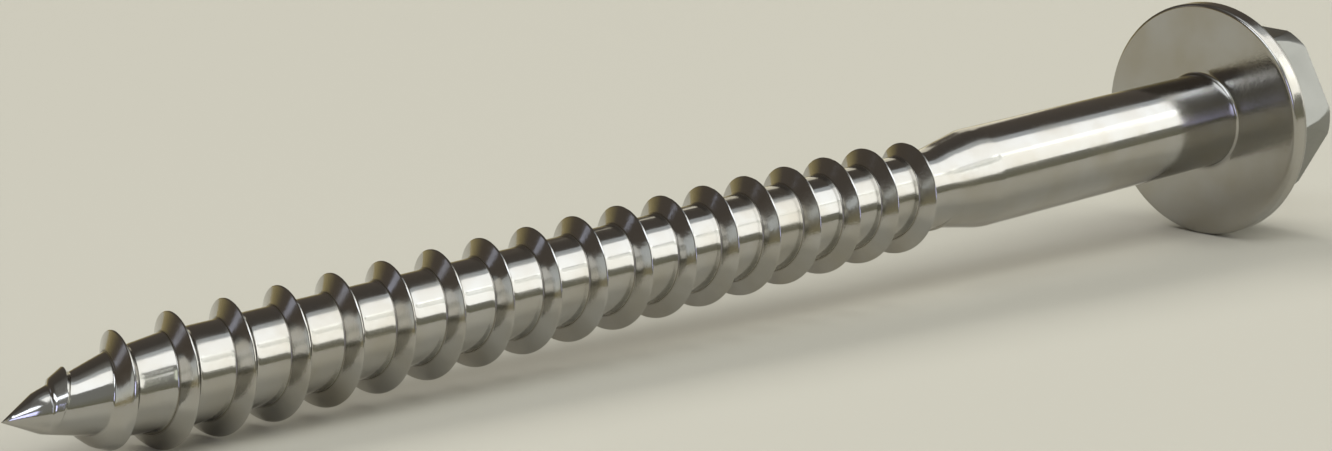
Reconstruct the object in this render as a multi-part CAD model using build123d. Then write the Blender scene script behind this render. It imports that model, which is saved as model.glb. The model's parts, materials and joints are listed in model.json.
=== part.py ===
from build123d import *
from math import atan, atan2, cos, degrees, radians, tan
import os

os.makedirs("parts", exist_ok=True)

# Flanged hexagon lag screw, 10 x 130 mm, cold-headed and thread-rolled from one wire.
# It is drawn on the Z axis with its tip at z = 0 and its head uppermost, and laid down at the end.
# A "station" is a distance along the axis from the tip.

# Shank
underHeadLength = 130.0        # tip to bearing face
shankDiameter = 9.14
underHeadFillet = 0.27

# Core of the threaded end
rootDiameter = 7.14
pointLength = 13.3             # tip to full root diameter
pointOutline = [               # shares of the point's length and of the root diameter
    (0.0, 0.0),
    (0.205, 0.418),
    (0.646, 0.862),
    (1.0, 1.0),
]
shoulderStation = 91.5         # the root starts to widen to the shank here
shoulderLength = 5.35

# Thread ridge
threadDiameter = 9.86          # over the crests
threadPitch = 4.663
leftHanded = True
flankAngle = 60.0              # between the two flanks
crestLand = 0.1                # flat on the crest
crestDownStation = 2.39        # first station whose crest faces the ground when the screw lies down
ridgeSeat = 0.3                # depth of the ridge's foot inside the core
fullThreadStation = 14.0       # tip to full crest diameter
crestClimb = [                 # shares of that distance and of the full crest diameter
    (0.186, 0.264),
    (0.336, 0.704),
    (0.414, 0.801),
    (0.668, 0.913),
    (0.832, 0.971),
    (1.0, 1.0),
]
pointConeSlope = 0.486         # round the point the crest is trimmed to a cone
pointConeLead = 0.34           # that cone's apex is this far ahead of the tip
runOutStation = 88.0           # the crest starts to sink back to the root here
runOutLength = 4.0
runOutSink = 0.1               # the crest ends this far inside the core
stepsPerTurn = 6               # stretches in a turn where the ridge changes
footRounds = 30                # rounds of trial that settle the foot of a flank

# Flange
flangeDiameter = 23.1
flangeRim = 1.87               # height of the rim
flangeSlope = 15.0             # its upper face climbs to the hexagon at this angle
crownInset = 1.0               # and ends this far inside the hexagon's faces
lowerRimChamfer = 0.2
upperRimChamfer = 0.28

# Hexagon
headHeight = 9.24              # bearing face to top
acrossFlats = 16.37
sides = 6
halfSide = 180 / sides         # from a face's centre to a corner
hexagonTurn = 2.97             # from the ground side to the nearest face centre
cornerTrim = 0.67              # taken off the corners at the top
cornerTrimDepth = 7.0          # the trim fades out this far down
cornerClearance = 0.03         # gap there between the trimming curve and the corners

# Lying on the ground
layCrests = 5                  # crests from the point on that may be the one that touches


def between(table, station):
    """Value at a station in a table of (station, value) rows, with straight lines between rows."""
    for (fromStation, fromValue), (toStation, toValue) in zip(table, table[1:]):
        if station <= toStation:
            share = (station - fromStation) / (toStation - fromStation)
            return fromValue + share * (toValue - fromValue)
    return table[-1][1]


# Core and crest outlines, as (station, radius) rows
coreOutline = [(pointLength * x, rootDiameter / 2 * y) for x, y in pointOutline]
coreOutline += [
    (shoulderStation, rootDiameter / 2),
    (shoulderStation + shoulderLength, shankDiameter / 2),
]
threadStart = fullThreadStation * crestClimb[0][0]
threadEnd = runOutStation + runOutLength
crestOutline = [(fullThreadStation * x, threadDiameter / 2 * y) for x, y in crestClimb]
crestOutline += [
    (runOutStation, threadDiameter / 2),
    (threadEnd, rootDiameter / 2 - runOutSink),
]


def flankFoot(corner, side):
    """Where a flank from a corner (station, radius) meets the seat, on side -1 (tip) or +1 (head)."""
    station, radius = corner
    foot = station
    for _ in range(footRounds):
        footRadius = between(coreOutline, foot) - ridgeSeat
        foot = station + side * (radius - footRadius) * tan(radians(flankAngle / 2))
    return foot, footRadius


def ridgeSection(station):
    """Corners (station, radius) of the ridge's section: foot, crest, crest, foot."""
    peak = between(crestOutline, station)
    lower = (station - crestLand / 2, peak)
    upper = (station + crestLand / 2, peak)
    excess = peak - pointConeSlope * (station + pointConeLead)
    if excess > crestLand:
        steepness = 1 / tan(radians(flankAngle / 2))
        down = excess / (steepness - pointConeSlope)
        up = excess / (steepness + pointConeSlope)
        lower = (lower[0] - down, peak - steepness * down)
        upper = (upper[0] + up, peak - steepness * up)
    return [flankFoot(lower, -1), lower, upper, flankFoot(upper, 1)]


def crestAngle(station):
    """Angle of the crest round the axis, counted from the ground side."""
    turn = 360 * (station - crestDownStation) / threadPitch
    return -turn if leftHanded else turn


def ridgeStations():
    """Stations that the ridge is drawn between: close where it changes, a turn apart elsewhere."""
    stations = []
    for begin, finish, step in (
        (threadStart, fullThreadStation, threadPitch / stepsPerTurn),
        (fullThreadStation, runOutStation, threadPitch),
        (runOutStation, threadEnd, threadPitch / stepsPerTurn),
    ):
        count = max(1, round((finish - begin) / step))
        stations += [begin + (finish - begin) * i / count for i in range(count)]
    return stations + [threadEnd]


def sectionFace(station):
    """Flat end of the ridge."""
    corners = [Vector(radius, 0, height) for height, radius in ridgeSection(station)]
    return Face(Wire.make_polygon(corners, close=True)).rotate(Axis.Z, crestAngle(station))


def spiral(start, end, begin, finish):
    """Helix from one (station, radius) to another, while the crest goes from begin to finish."""
    rise = end[0] - start[0]
    cone = atan((end[1] - start[1]) / rise)
    turns = (finish - begin) / threadPitch
    helix = Edge.make_helix(
        pitch=rise / turns / cos(cone),
        height=rise,
        radius=start[1],
        center=(0, 0, start[0]),
        angle=degrees(cone),
        lefthand=leftHanded,
    )
    return helix.rotate(Axis.Z, crestAngle(begin))


def threadRidge():
    """The whole ridge as one solid, its foot sunk into the core."""
    stations = ridgeStations()
    faces = [sectionFace(stations[0]), sectionFace(stations[-1])]
    for begin, finish in zip(stations, stations[1:]):
        corners = zip(ridgeSection(begin), ridgeSection(finish))
        lines = [spiral(start, end, begin, finish) for start, end in corners]
        for line, nextLine in zip(lines, lines[1:] + lines[:1]):
            faces.append(Face.make_surface_from_curves(line, nextLine))
    return Solid(Shell(faces))


def turnedBody():
    """Point, root, shoulder, shank and flange, turned in one outline."""
    rim = flangeDiameter / 2
    rimTop = underHeadLength + flangeRim
    crown = acrossFlats / 2 - crownInset
    crownTop = rimTop + (rim - crown) * tan(radians(flangeSlope))
    neck = (shankDiameter / 2, underHeadLength)
    lowerEdge = (rim, underHeadLength)
    upperEdge = (rim, rimTop)
    outline = [(radius, station) for station, radius in coreOutline]
    outline += [neck, lowerEdge, upperEdge, (crown, crownTop), (0, crownTop)]
    face = make_face(Polyline(*outline, close=True))
    for corner, size, ease in (
        (neck, underHeadFillet, fillet),
        (lowerEdge, lowerRimChamfer, chamfer),
        (upperEdge, upperRimChamfer, chamfer),
    ):
        vertex = face.vertices().sort_by_distance(Vector(*corner))[0]
        face = ease(vertex, size)
    return revolve(Plane.XZ * face, Axis.Z)


def hexagon():
    """Hexagon from inside the flange to the top, its corners eased off by a barrel curve."""
    top = underHeadLength + headHeight
    foot = underHeadLength + flangeRim / 2
    cornerRadius = acrossFlats / 2 / cos(radians(halfSide))
    barrel = cornerRadius + cornerClearance
    topRadius = cornerRadius - cornerTrim
    curveRadius = (cornerTrimDepth**2 + (barrel - topRadius) ** 2) / (2 * (barrel - topRadius))
    curve = RadiusArc((barrel, top - cornerTrimDepth), (topRadius, top), -curveRadius)
    rest = Polyline((topRadius, top), (0, top), (0, foot), (barrel, foot), (barrel, top - cornerTrimDepth))
    trim = revolve(Plane.XZ * make_face([curve, rest]), Axis.Z)
    flats = RegularPolygon(acrossFlats / 2, sides, major_radius=False, rotation=halfSide + hexagonTurn)
    prism = extrude(Pos(0, 0, foot) * flats, top - foot)
    return prism & trim


def layTilt(station):
    """How far the axis leans when the flange and the crest at this station touch the ground."""
    crestStation, crestRadius = ridgeSection(station)[2]
    along = underHeadLength + lowerRimChamfer - crestStation
    across = flangeDiameter / 2 - crestRadius
    return atan2(across, along)


def layDown(shape):
    """Lay the upright screw along +X on z = 0, point low, centred on its own box."""
    crests = [crestDownStation + threadPitch * i for i in range(1, layCrests + 1)]
    tilt = degrees(min(layTilt(station) for station in crests))
    lying = Rot(0, 90 - tilt, 0) * shape
    box = lying.bounding_box()
    return Pos(-box.center().X, -box.center().Y, -box.min.Z) * lying


screw = turnedBody() + hexagon() + threadRidge()
export_step(layDown(screw), "parts/lag_screw.step")
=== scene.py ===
import json
import bmesh
import bpy
from math import asin, cos, degrees, pi, radians, sin, sqrt, tan
from mathutils import Matrix, Vector


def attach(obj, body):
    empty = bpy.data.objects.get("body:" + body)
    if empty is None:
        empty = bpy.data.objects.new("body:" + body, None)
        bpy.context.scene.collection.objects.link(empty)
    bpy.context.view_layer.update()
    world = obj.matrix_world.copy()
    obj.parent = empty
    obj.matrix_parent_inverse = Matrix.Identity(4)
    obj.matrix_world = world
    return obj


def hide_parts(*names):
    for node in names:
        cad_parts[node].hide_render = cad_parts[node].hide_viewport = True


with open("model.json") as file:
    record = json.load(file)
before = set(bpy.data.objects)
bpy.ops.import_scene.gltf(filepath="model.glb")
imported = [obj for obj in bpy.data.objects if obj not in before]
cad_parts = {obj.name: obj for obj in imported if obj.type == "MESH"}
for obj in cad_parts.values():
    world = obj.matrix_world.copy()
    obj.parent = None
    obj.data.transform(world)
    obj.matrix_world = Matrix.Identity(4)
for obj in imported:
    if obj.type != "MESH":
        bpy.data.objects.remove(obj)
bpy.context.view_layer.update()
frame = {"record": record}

scene = bpy.context.scene
mm = 0.001
fullTurn = 2 * pi

# Sizes are in mm. A station is a distance from the tip along the axis.
screwSizes = {
    "underHead": 130.0,             # tip to bearing face
    "stepsPerTurn": 120,            # points round the axis; a multiple of 12, to meet the corners
    "joinStation": 98.0,            # the threaded end and the turned head meet in a ring here
    "shankRadius": 4.57,
    "weldGap": 0.002,
    "sliverGap": 0.0005,
    "sharpAngle": 28,               # degrees; edges sharper than this stay crisp
}

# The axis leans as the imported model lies: the bearing face's mount gives its direction and place
bearing = next(mount for mount in frame["record"]["mounts"] if mount["name"] == "bearing_face")
alongAxis = -Vector(bearing["axis"]).normalized()
lean = asin(alongAxis.z)
bearingCentre = Vector((bearing["pos_m"][0], 0, bearing["pos_m"][2]))
tip = bearingCentre - alongAxis * screwSizes["underHead"] * mm
layTurn = pi / 2 - lean             # about Y, from upright to lying
layDown = Matrix.Translation(tip) @ Matrix.Rotation(layTurn, 4, "Y")
print("lying place read, lean", round(degrees(lean), 2))


# Threaded end: one strip a pitch wide, wound round the axis so that its long edges meet.
# Across the strip: root, fillet, flank, crest, flank, fillet, root.
threadSizes = {
    "Pitch": 4.663,
    "Crest Down Station": 2.39,     # first station whose crest faces the ground
    "Hand": -1.0,                   # -1 is a left-hand thread
    "Flank Slope": 1.732,           # rise over run of a flank, for 60 degrees between flanks
    "Crest Land": 0.1,
    "Crest Easing": 0.06,
    "Tip Side Foot": 0.16,          # easing where a flank meets the core
    "Head Side Foot": 0.45,
    "Point Cone Slope": 0.486,      # round the point the crest is trimmed to a cone
    "Point Cone Lead": 0.34,
    "Section Points": 29,
    "Snap": 0.12,                   # rows this near the strip's ends are drawn in to them
}
sectionShape = {
    "crestPoints": 0.24,            # the half strip's points, as shares: crest up to here,
    "flankPoints": 0.5,             # then flank, then fillet, then root
    "filletPoints": 0.82,
    "crestReach": 0.06,             # how far past its corner the crest's points go
    "crestReachLimit": 0.3,         # and at most this share of the ridge's half width
    "easeReach": 0.6,               # the fillet's points reach this share of its easing both ways
    "filletStartLimit": 0.4,        # but start no nearer the crest than this share
    "lowRidge": 0.6,                # up to this height a ridge has the smallest foot easing
    "fullRidge": 1.3,               # from this height on it has all of it
    "lowRidgeEasing": 0.12,
    "footRounds": 6,                # rounds that settle the foot of a flank
}
coreRows = [(0.0, 0.0), (2.727, 1.492), (8.592, 3.077), (13.3, 3.57), (91.5, 3.57), (96.85, 4.57)]
crestRows = [
    (0.0, -0.6), (2.604, 1.302), (4.704, 3.471), (5.796, 3.949), (9.352, 4.501),
    (11.648, 4.787), (14.0, 4.93), (88.0, 4.93), (92.0, 3.47),
]


class Flow:
    # shorthand for wiring a node tree: each call but add gives a node's output
    def __init__(self, tree):
        self.tree = tree

    def add(self, kind, **settings):
        node = self.tree.nodes.new(kind)
        for name, value in settings.items():
            setattr(node, name, value)
        return node

    def feed(self, node, *values):
        for socket, value in zip([s for s in node.inputs if s.enabled], values):
            if isinstance(value, bpy.types.NodeSocket):
                self.tree.links.new(value, socket)
            else:
                socket.default_value = value
        return [s for s in node.outputs if s.enabled][0]

    def math(self, operation, *values):
        return self.feed(self.add("ShaderNodeMath", operation=operation), *values)

    def plus(self, a, b):
        return self.math("ADD", a, b)

    def minus(self, a, b):
        return self.math("SUBTRACT", a, b)

    def times(self, a, b):
        return self.math("MULTIPLY", a, b)

    def over(self, a, b):
        return self.math("DIVIDE", a, b)

    def ramp(self, value, start, end, low, high):
        # straight line from low at start to high at end, held beyond them
        return self.feed(self.add("ShaderNodeMapRange", clamp=True), value, start, end, low, high)

    def outline(self, station, rows):
        # radius at a station, in straight lines through the rows
        total = rows[0][1]
        for (fromStation, fromRadius), (toStation, toRadius) in zip(rows, rows[1:]):
            if toRadius != fromRadius:
                rise = self.ramp(station, fromStation, toStation, 0.0, toRadius - fromRadius)
                total = self.plus(total, rise)
        return total


def threadTree(material):
    tree = bpy.data.node_groups.new("threadedEnd", "GeometryNodeTree")
    face = tree.interface
    face.new_socket(name="Geometry", in_out="OUTPUT", socket_type="NodeSocketGeometry")
    for name in ("Section Points", "Steps Per Turn", "Strip Steps"):
        face.new_socket(name=name, in_out="INPUT", socket_type="NodeSocketInt")
    for name in (
        "Pitch", "Crest Down Station", "Hand", "Flank Slope", "Crest Land", "Crest Easing",
        "Tip Side Foot", "Head Side Foot", "Point Cone Slope", "Point Cone Lead", "Start Turn",
        "Join Station", "Snap", "Weld Gap", "Lean",
    ):
        face.new_socket(name=name, in_out="INPUT", socket_type="NodeSocketFloat")
    face.new_socket(name="Tip", in_out="INPUT", socket_type="NodeSocketVector")
    flow = Flow(tree)
    given = flow.add("NodeGroupInput").outputs
    shape = sectionShape
    pitch = given["Pitch"]

    # the strip's grid: rows along the helix, points across it
    stripGrid = flow.add("GeometryNodeMeshGrid")
    flow.feed(stripGrid, 1.0, 1.0, given["Strip Steps"], given["Section Points"])
    index = flow.add("GeometryNodeInputIndex").outputs[0]
    step = flow.math("FLOOR", flow.over(index, given["Section Points"]))
    place = flow.math("MODULO", index, given["Section Points"])
    turn = flow.plus(flow.over(step, given["Steps Per Turn"]), given["Start Turn"])
    crestStation = flow.times(flow.minus(turn, 0.5), pitch)
    widthShare = flow.over(place, flow.minus(given["Section Points"], 1.0))
    across = flow.minus(flow.times(widthShare, 2.0), 1.0)       # -1 at tip side, 1 at head side
    side = flow.math("SIGN", across)
    share = flow.math("ABSOLUTE", across)

    # crest corner on this side: the land, widened where the cone trims the crest
    peak = flow.outline(crestStation, crestRows)
    slope = given["Flank Slope"]
    halfLand = flow.times(given["Crest Land"], 0.5)
    fromApex = flow.plus(crestStation, given["Point Cone Lead"])
    coneAtCrest = flow.times(fromApex, given["Point Cone Slope"])
    excess = flow.math("MAXIMUM", flow.minus(peak, coneAtCrest), 0.0)
    steeper = flow.plus(slope, flow.times(given["Point Cone Slope"], side))
    widening = flow.over(excess, steeper)
    crestHalf = flow.plus(halfLand, widening)
    cornerRadius = flow.minus(peak, flow.times(slope, widening))

    # foot of the flank on this side, closed in on the core in a few rounds
    run = crestHalf
    for _ in range(shape["footRounds"]):
        coreThere = flow.outline(flow.plus(crestStation, flow.times(side, run)), coreRows)
        drop = flow.math("MAXIMUM", flow.minus(cornerRadius, coreThere), 0.0)
        run = flow.plus(crestHalf, flow.over(drop, slope))

    # distance from the crest: crest, flank, fillet and root each take their share of the points
    footEasing = flow.ramp(side, -1.0, 1.0, given["Tip Side Foot"], given["Head Side Foot"])
    height = flow.minus(peak, flow.outline(crestStation, coreRows))
    eased = flow.ramp(height, shape["lowRidge"], shape["fullRidge"], shape["lowRidgeEasing"], 1.0)
    footEasing = flow.times(footEasing, eased)
    ease = flow.times(footEasing, shape["easeReach"])
    filletLimit = flow.times(run, shape["filletStartLimit"])
    filletStart = flow.math("MAXIMUM", flow.minus(run, ease), filletLimit)
    filletEnd = flow.plus(run, ease)
    crestLimit = flow.times(run, shape["crestReachLimit"])
    crestEnd = flow.math("MINIMUM", flow.plus(crestHalf, shape["crestReach"]), crestLimit)
    distance = 0.0
    shareDone, distanceDone = 0.0, 0.0
    for shareEnd, distanceEnd in (
        (shape["crestPoints"], crestEnd), (shape["flankPoints"], filletStart),
        (shape["filletPoints"], filletEnd), (1.0, flow.times(pitch, 0.5)),
    ):
        stretch = flow.minus(distanceEnd, distanceDone)
        distance = flow.plus(distance, flow.ramp(share, shareDone, shareEnd, 0.0, stretch))
        shareDone, distanceDone = shareEnd, distanceEnd
    station = flow.plus(crestStation, flow.times(side, distance))
    behindTip = flow.math("GREATER_THAN", station, given["Snap"])
    station = flow.times(station, behindTip)                    # lower rows all meet in the tip
    reach = flow.minus(given["Join Station"], station)
    beyond = flow.math("LESS_THAN", reach, given["Snap"])
    station = flow.plus(station, flow.times(reach, beyond))     # higher rows, in the last ring

    # radius: flank lines under the crest's cap, blended into the core at their foot
    core = flow.outline(station, coreRows)
    flank = flow.minus(flow.plus(peak, flow.times(halfLand, slope)), flow.times(distance, slope))
    cone = flow.times(flow.plus(station, given["Point Cone Lead"]), given["Point Cone Slope"])
    cap = flow.math("MINIMUM", peak, cone)
    ridge = flow.math("SMOOTH_MIN", flank, cap, given["Crest Easing"])
    radius = flow.math("SMOOTH_MAX", ridge, core, footEasing)
    clear = flow.math("GREATER_THAN", flow.minus(core, ridge), footEasing)
    radius = flow.plus(flow.times(radius, flow.minus(1.0, clear)), flow.times(core, clear))

    # wind it round the axis, then lay it down
    turns = flow.over(flow.minus(crestStation, given["Crest Down Station"]), pitch)
    angle = flow.times(flow.times(turns, fullTurn), given["Hand"])
    point = flow.add("ShaderNodeCombineXYZ")
    x = flow.times(radius, flow.math("COSINE", angle))
    y = flow.times(radius, flow.math("SINE", angle))
    point = flow.feed(point, x, y, station)
    wound = flow.add("GeometryNodeSetPosition")
    tree.links.new(stripGrid.outputs["Mesh"], wound.inputs["Geometry"])
    tree.links.new(point, wound.inputs["Position"])
    welded = flow.add("GeometryNodeMergeByDistance")
    tree.links.new(wound.outputs[0], welded.inputs["Geometry"])
    tree.links.new(given["Weld Gap"], welded.inputs["Distance"])
    turned = flow.add("ShaderNodeCombineXYZ")
    tree.links.new(flow.minus(pi / 2, given["Lean"]), turned.inputs["Y"])
    laid = flow.add("GeometryNodeTransform")
    tree.links.new(welded.outputs[0], laid.inputs["Geometry"])
    tree.links.new(given["Tip"], laid.inputs["Translation"])
    tree.links.new(turned.outputs[0], laid.inputs["Rotation"])
    laid.inputs["Scale"].default_value = (mm, mm, mm)
    real = flow.add("GeometryNodeRealizeInstances")
    tree.links.new(laid.outputs[0], real.inputs[0])
    finish = flow.add("GeometryNodeSetMaterial")
    finish.inputs["Material"].default_value = material
    tree.links.new(real.outputs[0], finish.inputs["Geometry"])
    tree.links.new(finish.outputs[0], flow.add("NodeGroupOutput").inputs[0])
    return tree


def threadedEnd(material):
    tree = threadTree(material)
    base = bpy.data.objects.new("threadedEnd", bpy.data.meshes.new("threadedEnd"))
    scene.collection.objects.link(base)
    modifier = base.modifiers.new("threadedEnd", "NODES")
    modifier.node_group = tree
    steps = screwSizes["stepsPerTurn"]
    turns = screwSizes["joinStation"] / threadSizes["Pitch"] + 1
    crestDownTurn = threadSizes["Crest Down Station"] / threadSizes["Pitch"] + 0.5
    cornerTurn = threadSizes["Hand"] * hexagonSizes["turn"] / 360
    inputs = dict(threadSizes)
    inputs["Steps Per Turn"] = steps
    inputs["Strip Steps"] = int(turns * steps) + 3              # a few rows past both ends
    pastStep = (crestDownTurn + cornerTurn) * steps % 1
    inputs["Start Turn"] = (pastStep - 1) / steps               # points meet the hexagon's corners
    inputs["Join Station"] = screwSizes["joinStation"]
    inputs["Weld Gap"] = screwSizes["weldGap"]
    inputs["Lean"] = lean
    inputs["Tip"] = tip
    for item in tree.interface.items_tree:
        if item.in_out == "INPUT":
            modifier[item.identifier] = inputs[item.name]
    graph = bpy.context.evaluated_depsgraph_get()
    mesh = bpy.data.meshes.new_from_object(base.evaluated_get(graph))
    bpy.data.objects.remove(base)
    print("threaded end wound,", len(mesh.polygons), "faces")
    return mesh


# Flange and hexagon, with the plain shank below them
flangeSizes = {
    "radius": 11.55,
    "rimHeight": 1.87,
    "slope": 15.0,                  # the upper face climbs to the hexagon at this angle
    "neckFillet": 0.27,
    "lowerRound": 0.33,
    "upperRound": 0.46,
    "arcSteps": 5,
    "faceInset": 0.3,               # rings of the flat face this far inside its rounds
    "rimInset": 0.2,
    "shankInset": 1.0,
}
hexagonSizes = {
    "height": 9.24,                 # bearing face to top
    "acrossFlats": 16.37,
    "sides": 6,
    "turn": 2.97,                   # degrees from the ground side to a face centre
    "barrelTop": 8.78,              # radius that the corners are eased to at the top
    "barrelDepth": 7.0,             # how far down that easing reaches
    "barrelClearance": 0.03,
    "creaseEasing": 0.06,
    "creaseMargin": 0.15,           # the last point below the crease keeps this far from it
    "footRound": 0.25,
    "topRound": 0.18,
    "footSteps": 4,
    "faceSteps": 3,
    "barrelSteps": 10,
    "topSteps": 4,
    "topRing": 0.7,                 # ring of the top face inside its edge
}


def arc(centre, size, start, end, steps):
    # points (station, radius) on an arc; 0 degrees faces outward, 90 degrees faces the head's top
    angles = [radians(start + (end - start) * i / steps) for i in range(steps + 1)]
    return [(centre[0] + size * sin(a), centre[1] + size * cos(a)) for a in angles]


def roundRows():
    # the turned part of the head, the same all round: shank, fillet, bearing face, rim
    flange = flangeSizes
    shank = screwSizes["shankRadius"]
    face = screwSizes["underHead"]
    fillet = flange["neckFillet"]
    lower = flange["lowerRound"]
    upper = flange["upperRound"]
    steps = flange["arcSteps"]
    rim = flange["radius"]
    turned = 90 - flange["slope"]
    upperStart = face + flange["rimHeight"] - upper * tan(radians(turned / 2))
    neckRadius = shank + fillet
    join = screwSizes["joinStation"]
    inset = flange["shankInset"]
    rows = [(join, shank), (join + inset, shank), (face - inset, shank)]
    neck = arc((face - fillet, neckRadius), fillet, 0, 90, steps)
    rows += [(station, 2 * neckRadius - radius) for station, radius in neck]      # bent inward
    rows += [(face, neckRadius + flange["faceInset"]), (face, rim - lower - flange["faceInset"])]
    rows += arc((face + lower, rim - lower), lower, -90, 0, steps)
    rows += [(face + lower + flange["rimInset"], rim), (upperStart - flange["rimInset"], rim)]
    rows += arc((upperStart, rim - upper), upper, 0, turned, steps)
    return rows


def hexagonColumn(angle):
    # stations and radii up the hexagon at one angle, from the flange's cone to the top's centre
    flange = flangeSizes
    hexagon = hexagonSizes
    top = screwSizes["underHead"] + hexagon["height"]
    half = hexagon["acrossFlats"] / 2
    halfSide = 180 / hexagon["sides"]
    fromFace = (angle - hexagon["turn"] + halfSide) % (2 * halfSide) - halfSide
    flat = half / cos(radians(fromFace))
    corner = half / cos(radians(halfSide)) + hexagon["barrelClearance"]
    bulge = corner - hexagon["barrelTop"]
    curve = (hexagon["barrelDepth"] ** 2 + bulge ** 2) / (2 * bulge)

    def barrel(station):
        below = max(station - (top - hexagon["barrelDepth"]), 0)
        return corner - curve + sqrt(curve ** 2 - below ** 2)

    def surface(station):
        # the smaller of flat and barrel, with the crease between them eased
        a, b, k = flat, barrel(station), hexagon["creaseEasing"]
        near = max(k - abs(a - b), 0) / k
        return min(a, b) - near ** 3 * k / 6

    coneTop = screwSizes["underHead"] + flange["rimHeight"]
    climb = tan(radians(flange["slope"]))
    footRound = hexagon["footRound"]
    foot = coneTop + (flange["radius"] - flat) * climb
    out = (foot - footRound * climb, flat + footRound)
    up = (foot + footRound, flat)
    column = []
    for i in range(hexagon["footSteps"] + 1):
        t = i / hexagon["footSteps"]
        column.append(tuple(
            (1 - t) ** 2 * a + 2 * t * (1 - t) * b + t ** 2 * c
            for a, b, c in zip(out, (foot, flat), up)
        ))
    edge = top - hexagon["topRound"]
    crease = edge
    if flat > barrel(edge):
        below = sqrt(curve ** 2 - (flat - corner + curve) ** 2)
        crease = top - hexagon["barrelDepth"] + below
    nearCrease = max(crease - hexagon["creaseMargin"], up[0])
    for end, steps in ((nearCrease, hexagon["faceSteps"]), (edge, hexagon["barrelSteps"])):
        start = column[-1][0]
        for i in range(1, steps + 1):
            station = start + (end - start) * i / steps
            column.append((station, surface(station)))
    edgeRadius = column[-1][1]
    flatRadius = edgeRadius - hexagon["topRound"]
    column += arc((edge, flatRadius), hexagon["topRound"], 0, 90, hexagon["topSteps"])[1:]
    column.append((top, flatRadius - hexagon["topRing"]))
    return column


def turnedHead(mesh):
    # adds the shank and head to the threaded end's mesh, one column for each point round the axis
    steps = screwSizes["stepsPerTurn"]
    shape = bmesh.new()
    shape.from_mesh(mesh)
    columns = []
    for i in range(steps):
        angle = hexagonSizes["turn"] + 360 * i / steps
        column = []
        x, y = cos(radians(angle)), sin(radians(angle))
        for station, radius in roundRows() + hexagonColumn(angle):
            place = Vector((radius * x, radius * y, station)) * mm
            column.append(shape.verts.new(layDown @ place))
        columns.append(column)
    topStation = screwSizes["underHead"] + hexagonSizes["height"]
    centre = shape.verts.new(layDown @ Vector((0, 0, topStation * mm)))
    for column, following in zip(columns, columns[1:] + columns[:1]):
        for a, b, c, d in zip(column, following, following[1:], column[1:]):
            shape.faces.new((a, b, c, d))
        shape.faces.new((column[-1], following[-1], centre))
    bmesh.ops.remove_doubles(shape, verts=shape.verts, dist=screwSizes["weldGap"] * mm)
    bmesh.ops.dissolve_degenerate(shape, edges=shape.edges, dist=screwSizes["sliverGap"] * mm)
    bmesh.ops.recalc_face_normals(shape, faces=shape.faces)
    shape.to_mesh(mesh)
    shape.free()
    print("shank and head turned,", len(mesh.polygons), "faces in all")


# Polished steel: drawn lines along the screw, a fine grain, soft smudges, a painted shade line in
# the thread's corner and a rougher head darkened with painted shade. Scales are patterns to the
# millimetre.
steelLook = {
    "colour": (0.44, 0.435, 0.42, 1),
    "warmColour": (0.4, 0.38, 0.335, 1),
    # painted shade: a dark line painted into the crease between core and flank
    "cornerShadeColour": (0.2, 0.18, 0.14, 1),
    # painted shade: the head's colour is darkened to stand in for the darker reflections it shows
    "headShadeColour": (0.24, 0.242, 0.224, 1),
    "roughness": 0.1,
    "smudgedRoughness": 0.19,
    "smudgeScale": 0.22,
    "smudgeDetail": 4.0,
    "smudgeRange": (0.35, 0.7),     # noise values from clean to smudged
    "grainScale": 3.5,
    "grainDetail": 3.0,
    "grainRoughness": 0.05,
    "lineScale": 2.6,
    "lineDetail": 2.0,
    "lineStretch": 40,              # how much longer than wide a drawn line is
    "lineDepth": 0.0000045,         # metres
    "grainDepth": 0.0000012,
    "cornerFrom": 0.83,             # from the crest to the corner, on the tip side
    "cornerWidth": 0.085,
    "cornerRadius": 3.95,           # the painted shade line stays inside this radius
    "cornerSpan": (8.0, 90.0),      # stations
    "cornerRoughness": 0.2,
    "headSpan": (131.3, 131.9),     # the head turns rougher, as forged, and is darkened with painted shade between these stations
    "headRoughness": 0.22,
}


def uprightPlace(flow):
    # the screw's own upright frame in mm: tip at the origin, axis along Z
    coordinates = flow.add("ShaderNodeTexCoord")
    upright = flow.add("ShaderNodeMapping", vector_type="TEXTURE")
    upright.inputs["Location"].default_value = tip
    upright.inputs["Rotation"].default_value = (0, layTurn, 0)
    upright.inputs["Scale"].default_value = (mm, mm, mm)
    flow.tree.links.new(coordinates.outputs["Object"], upright.inputs["Vector"])
    return upright.outputs["Vector"]


def noise(flow, place, scale, detail, squeeze=1.0):
    # squeeze below 1 draws the pattern out along the axis
    stretched = flow.add("ShaderNodeMapping")
    stretched.inputs["Scale"].default_value = (scale, scale, scale * squeeze)
    flow.tree.links.new(place, stretched.inputs["Vector"])
    pattern = flow.add("ShaderNodeTexNoise")
    pattern.inputs["Scale"].default_value = 1
    pattern.inputs["Detail"].default_value = detail
    flow.tree.links.new(stretched.outputs["Vector"], pattern.inputs["Vector"])
    return pattern.outputs["Fac"]


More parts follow.
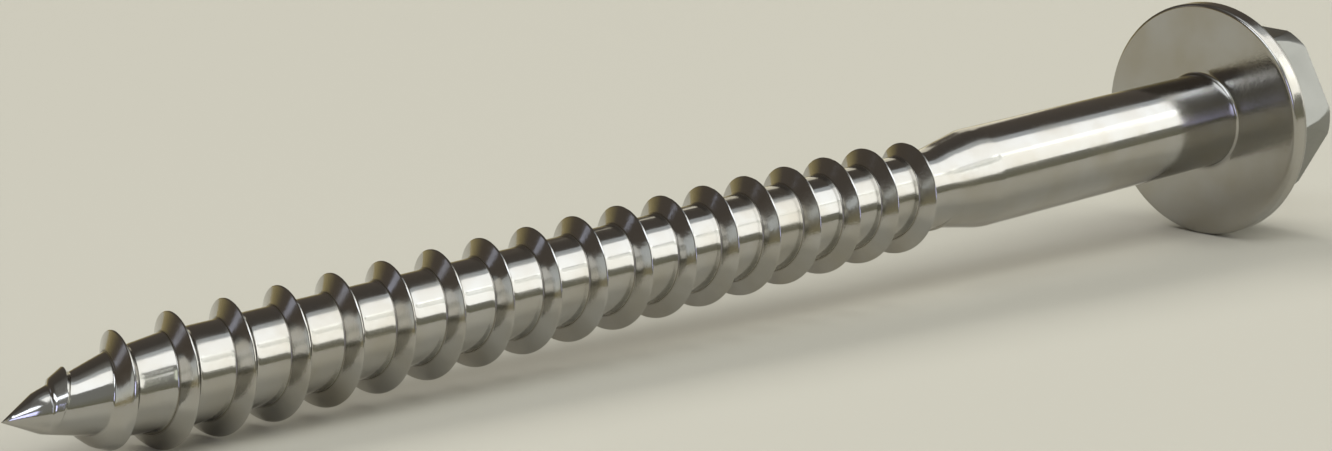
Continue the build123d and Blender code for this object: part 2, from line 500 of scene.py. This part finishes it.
def cornerShadeMask(flow, place):
    # 1 in the corner between core and flank on the tip side of each crest, 0 elsewhere: where a
    # painted shade line goes, with a rougher finish
    look = steelLook
    thread = threadSizes
    parts = flow.add("ShaderNodeSeparateXYZ")
    flow.tree.links.new(place, parts.inputs[0])
    x, y, station = parts.outputs
    angle = flow.math("ARCTAN2", y, x)
    turns = flow.over(flow.minus(station, thread["Crest Down Station"]), thread["Pitch"])
    turns = flow.minus(turns, flow.times(angle, thread["Hand"] / fullTurn))
    fromCrest = flow.times(flow.math("WRAP", turns, 0.5, -0.5), thread["Pitch"])
    offset = flow.math("ABSOLUTE", flow.plus(fromCrest, look["cornerFrom"]))
    corner = flow.ramp(offset, 0.0, look["cornerWidth"], 1.0, 0.0)
    radius = flow.math("SQRT", flow.plus(flow.times(x, x), flow.times(y, y)))
    corner = flow.times(corner, flow.math("LESS_THAN", radius, look["cornerRadius"]))
    start, end = look["cornerSpan"]
    corner = flow.times(corner, flow.math("GREATER_THAN", station, start))
    return flow.times(corner, flow.math("LESS_THAN", station, end))


def pastRim(flow, place):
    # 0 up to the flange's rim, 1 on the head beyond it, where the head is rougher and darkened
    # with painted shade
    parts = flow.add("ShaderNodeSeparateXYZ")
    flow.tree.links.new(place, parts.inputs[0])
    return flow.ramp(parts.outputs["Z"], *steelLook["headSpan"], 0.0, 1.0)


def steelMaterial():
    look = steelLook
    material = bpy.data.materials.new("polishedSteel")
    material.use_nodes = True
    tree = material.node_tree
    flow = Flow(tree)
    place = uprightPlace(flow)
    smudges = noise(flow, place, look["smudgeScale"], look["smudgeDetail"])
    smudges = flow.ramp(smudges, *look["smudgeRange"], 0.0, 1.0)
    grain = noise(flow, place, look["grainScale"], look["grainDetail"])
    lines = noise(flow, place, look["lineScale"], look["lineDetail"], 1 / look["lineStretch"])
    corner = cornerShadeMask(flow, place)
    head = pastRim(flow, place)

    colour = look["colour"]
    # mixes in random warm smudges, then the head's painted shade, then the corner's painted shade
    # line
    for amount, toward in (
        (smudges, look["warmColour"]), (head, look["headShadeColour"]), (corner, look["cornerShadeColour"]),
    ):
        colour = flow.feed(flow.add("ShaderNodeMix", data_type="RGBA"), amount, colour, toward)
    roughness = flow.ramp(smudges, 0.0, 1.0, look["roughness"], look["smudgedRoughness"])
    unevenness = flow.times(flow.minus(grain, 0.5), look["grainRoughness"] * 2)
    roughness = flow.plus(roughness, unevenness)
    for part, more in ((corner, look["cornerRoughness"]), (head, look["headRoughness"])):
        roughness = flow.plus(roughness, flow.times(part, more))

    shader = tree.nodes["Principled BSDF"]
    shader.inputs["Metallic"].default_value = 1
    tree.links.new(colour, shader.inputs["Base Color"])
    tree.links.new(roughness, shader.inputs["Roughness"])
    normal = None
    for height, depth in ((lines, look["lineDepth"]), (grain, look["grainDepth"])):
        bump = flow.add("ShaderNodeBump")
        bump.inputs["Distance"].default_value = depth
        tree.links.new(height, bump.inputs["Height"])
        if normal:
            tree.links.new(normal, bump.inputs["Normal"])
        normal = bump.outputs["Normal"]
    tree.links.new(normal, shader.inputs["Normal"])
    return material


def makeScrew():
    steel = steelMaterial()
    mesh = threadedEnd(steel)
    turnedHead(mesh)
    mesh.name = "lagScrew"
    mesh.materials.clear()
    mesh.materials.append(steel)
    for face in mesh.polygons:
        face.use_smooth = True
    mesh.set_sharp_from_angle(angle=radians(screwSizes["sharpAngle"]))
    screw = bpy.data.objects.new("lagScrew", mesh)
    scene.collection.objects.link(screw)
    weighted = screw.modifiers.new("weightedNormals", "WEIGHTED_NORMAL")
    weighted.keep_sharp = True
    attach(screw, "root")
    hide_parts("lag_screw")
    return screw


floorLook = {
    "size": 8.0,                    # metres
    "colour": (0.5, 0.478, 0.4, 1),
    "roughness": 0.85,
    "gloss": 0.1,
}


def makeFloor():
    look = floorLook
    mesh = bpy.data.meshes.new("floor")
    half = look["size"] / 2
    corners = [(-half, -half, 0), (half, -half, 0), (half, half, 0), (-half, half, 0)]
    mesh.from_pydata(corners, [], [(0, 1, 2, 3)])
    material = bpy.data.materials.new("paleFloor")
    material.use_nodes = True
    shader = material.node_tree.nodes["Principled BSDF"]
    shader.inputs["Base Color"].default_value = look["colour"]
    shader.inputs["Roughness"].default_value = look["roughness"]
    shader.inputs["Specular IOR Level"].default_value = look["gloss"]
    mesh.materials.append(material)
    floor = bpy.data.objects.new("floor", mesh)
    scene.collection.objects.link(floor)


# Soft panels round the screw, all facing it: what the steel mirrors. Azimuth is 0 along +X and 90
# along +Y, angles are in degrees, other sizes in metres, and the glow is a panel's brightness.
panelDistance = 3.5
panels = {
    "window": {
        "azimuth": -50, "elevation": 24, "wide": 40, "high": 18.5,
        "glow": 1.8, "colour": (1, 1, 0.97),
    },
    "transom": {
        "azimuth": -48, "elevation": 35.4, "wide": 44, "high": 5.2,
        "glow": 1.35, "colour": (0.97, 1, 0.96),
    },
    "leftTransom": {
        "azimuth": -58, "elevation": 41.5, "wide": 20, "high": 7,
        "glow": 1.5, "colour": (0.97, 1, 0.96),
    },
    "nearWindow": {
        "azimuth": -14, "elevation": 17, "wide": 31.5, "high": 30,
        "glow": 1.7, "colour": (1, 1, 0.98),
    },
    "doorSlit": {
        "azimuth": 46, "elevation": 16, "wide": 7, "high": 24,
        "glow": 0.8, "colour": (1, 0.96, 0.8),
    },
    "farWindow": {
        "azimuth": 176, "elevation": 14, "wide": 20, "high": 18,
        "glow": 0.7, "colour": (0.88, 0.96, 1),
    },
    "skySlit": {
        "azimuth": 133, "elevation": 20, "wide": 9, "high": 14,
        "glow": 0.5, "colour": (0.72, 0.78, 1),
    },
    "behindWindow": {
        "azimuth": -131, "elevation": 16, "wide": 16, "high": 18,
        "glow": 3.6, "colour": (0.55, 0.57, 1),
    },
    "skyWindow": {
        "azimuth": -160, "elevation": 46, "wide": 44, "high": 15,
        "glow": 3.8, "colour": (0.84, 0.9, 1),
    },
    "greenSlit": {
        "azimuth": -82, "elevation": 28, "wide": 8, "high": 22,
        "glow": 0.95, "colour": (0.93, 1, 0.8),
    },
}
ceilingPanels = {
    "ceiling": {
        "centre": (1.1, -0.88), "size": (3.4, 1.52), "glow": 1.9, "colour": (0.97, 0.99, 1),
    },
    "ceilingEdge": {
        "centre": (1.1, 0.1), "size": (3.4, 0.42), "glow": 0.6, "colour": (0.85, 0.93, 1),
    },
}
ceilingHeight = 2.0
fillPanel = {                       # lights the floor only; the steel doesn't mirror it
    "azimuth": 95, "elevation": 45, "wide": 50, "high": 26, "glow": 4.8, "colour": (1, 1, 1),
}


def addPanel(name, place, size, glow, colour):
    light = bpy.data.lights.new(name, "AREA")
    light.shape = "RECTANGLE"
    light.size, light.size_y = size
    light.energy = glow * pi * size[0] * size[1]
    light.color = colour
    panel = bpy.data.objects.new(name, light)
    scene.collection.objects.link(panel)
    panel.location = place
    return panel


def addFacingPanel(name, panel):
    azimuth = radians(panel["azimuth"])
    elevation = radians(panel["elevation"])
    flat = cos(elevation)
    direction = Vector((flat * cos(azimuth), flat * sin(azimuth), sin(elevation)))
    size = [2 * panelDistance * tan(radians(panel[key]) / 2) for key in ("wide", "high")]
    light = addPanel(name, direction * panelDistance, size, panel["glow"], panel["colour"])
    light.rotation_euler = direction.to_track_quat("Z", "Y").to_euler()
    return light


def makeLights():
    for name, panel in panels.items():
        addFacingPanel(name, panel)
    for name, panel in ceilingPanels.items():
        place = (*panel["centre"], ceilingHeight)
        addPanel(name, place, panel["size"], panel["glow"], panel["colour"])
    addFacingPanel("fill", fillPanel).visible_glossy = False
    print("lights set")


# The room beyond the panels: for each side, colours from the horizon (0) to overhead (1)
worldLook = {
    "left": [
        (0.0, (0.23, 0.22, 0.15, 1)), (0.35, (0.3, 0.3, 0.27, 1)), (1.0, (0.3, 0.3, 0.29, 1)),
    ],
    "right": [
        (0.0, (0.5, 0.42, 0.22, 1)), (0.12, (0.3, 0.25, 0.13, 1)),
        (0.25, (0.12, 0.1, 0.08, 1)), (0.85, (0.1, 0.09, 0.08, 1)), (1.0, (0.3, 0.3, 0.29, 1)),
    ],
    "turn": (-0.5, 0.2),            # the left, toward -Y, gives way to the right between these
}


def makeWorld():
    look = worldLook
    world = bpy.data.worlds.new("workshop")
    scene.world = world
    world.use_nodes = True
    tree = world.node_tree
    flow = Flow(tree)
    parts = flow.add("ShaderNodeSeparateXYZ")
    tree.links.new(flow.add("ShaderNodeTexCoord").outputs["Generated"], parts.inputs[0])
    sides = []
    for side in ("left", "right"):
        colours = flow.add("ShaderNodeValToRGB")
        stops = colours.color_ramp.elements
        while len(stops) < len(look[side]):
            stops.new(1.0)
        for stop, (height, colour) in zip(stops, look[side]):
            stop.position = height
            stop.color = colour
        sides.append(flow.feed(colours, parts.outputs["Z"]))
    turn = flow.ramp(parts.outputs["Y"], *look["turn"], 0.0, 1.0)
    tone = flow.feed(flow.add("ShaderNodeMix", data_type="RGBA"), turn, *sides)
    tree.links.new(tone, tree.nodes["Background"].inputs["Color"])


cameraPlace = {
    "lens": 73.4807,                # mm, like the sensor's width and the place from the tip
    "sensor": 36.0,
    "nearest": 0.005,               # metres
    "fromTip": (-82.85, -167.27, 50.55),
    "looks": (0.63736, 0.74452, -0.19864),
}


def makeCamera():
    place = cameraPlace
    lens = bpy.data.cameras.new("camera")
    lens.lens = place["lens"]
    lens.sensor_width = place["sensor"]
    lens.clip_start = place["nearest"]
    camera = bpy.data.objects.new("camera", lens)
    scene.collection.objects.link(camera)
    camera.location = tip + Vector(place["fromTip"]) * mm
    camera.rotation_euler = Vector(place["looks"]).to_track_quat("-Z", "Y").to_euler()
    scene.camera = camera


scene.view_settings.view_transform = "Standard"
makeScrew()
makeFloor()
makeLights()
makeWorld()
makeCamera()
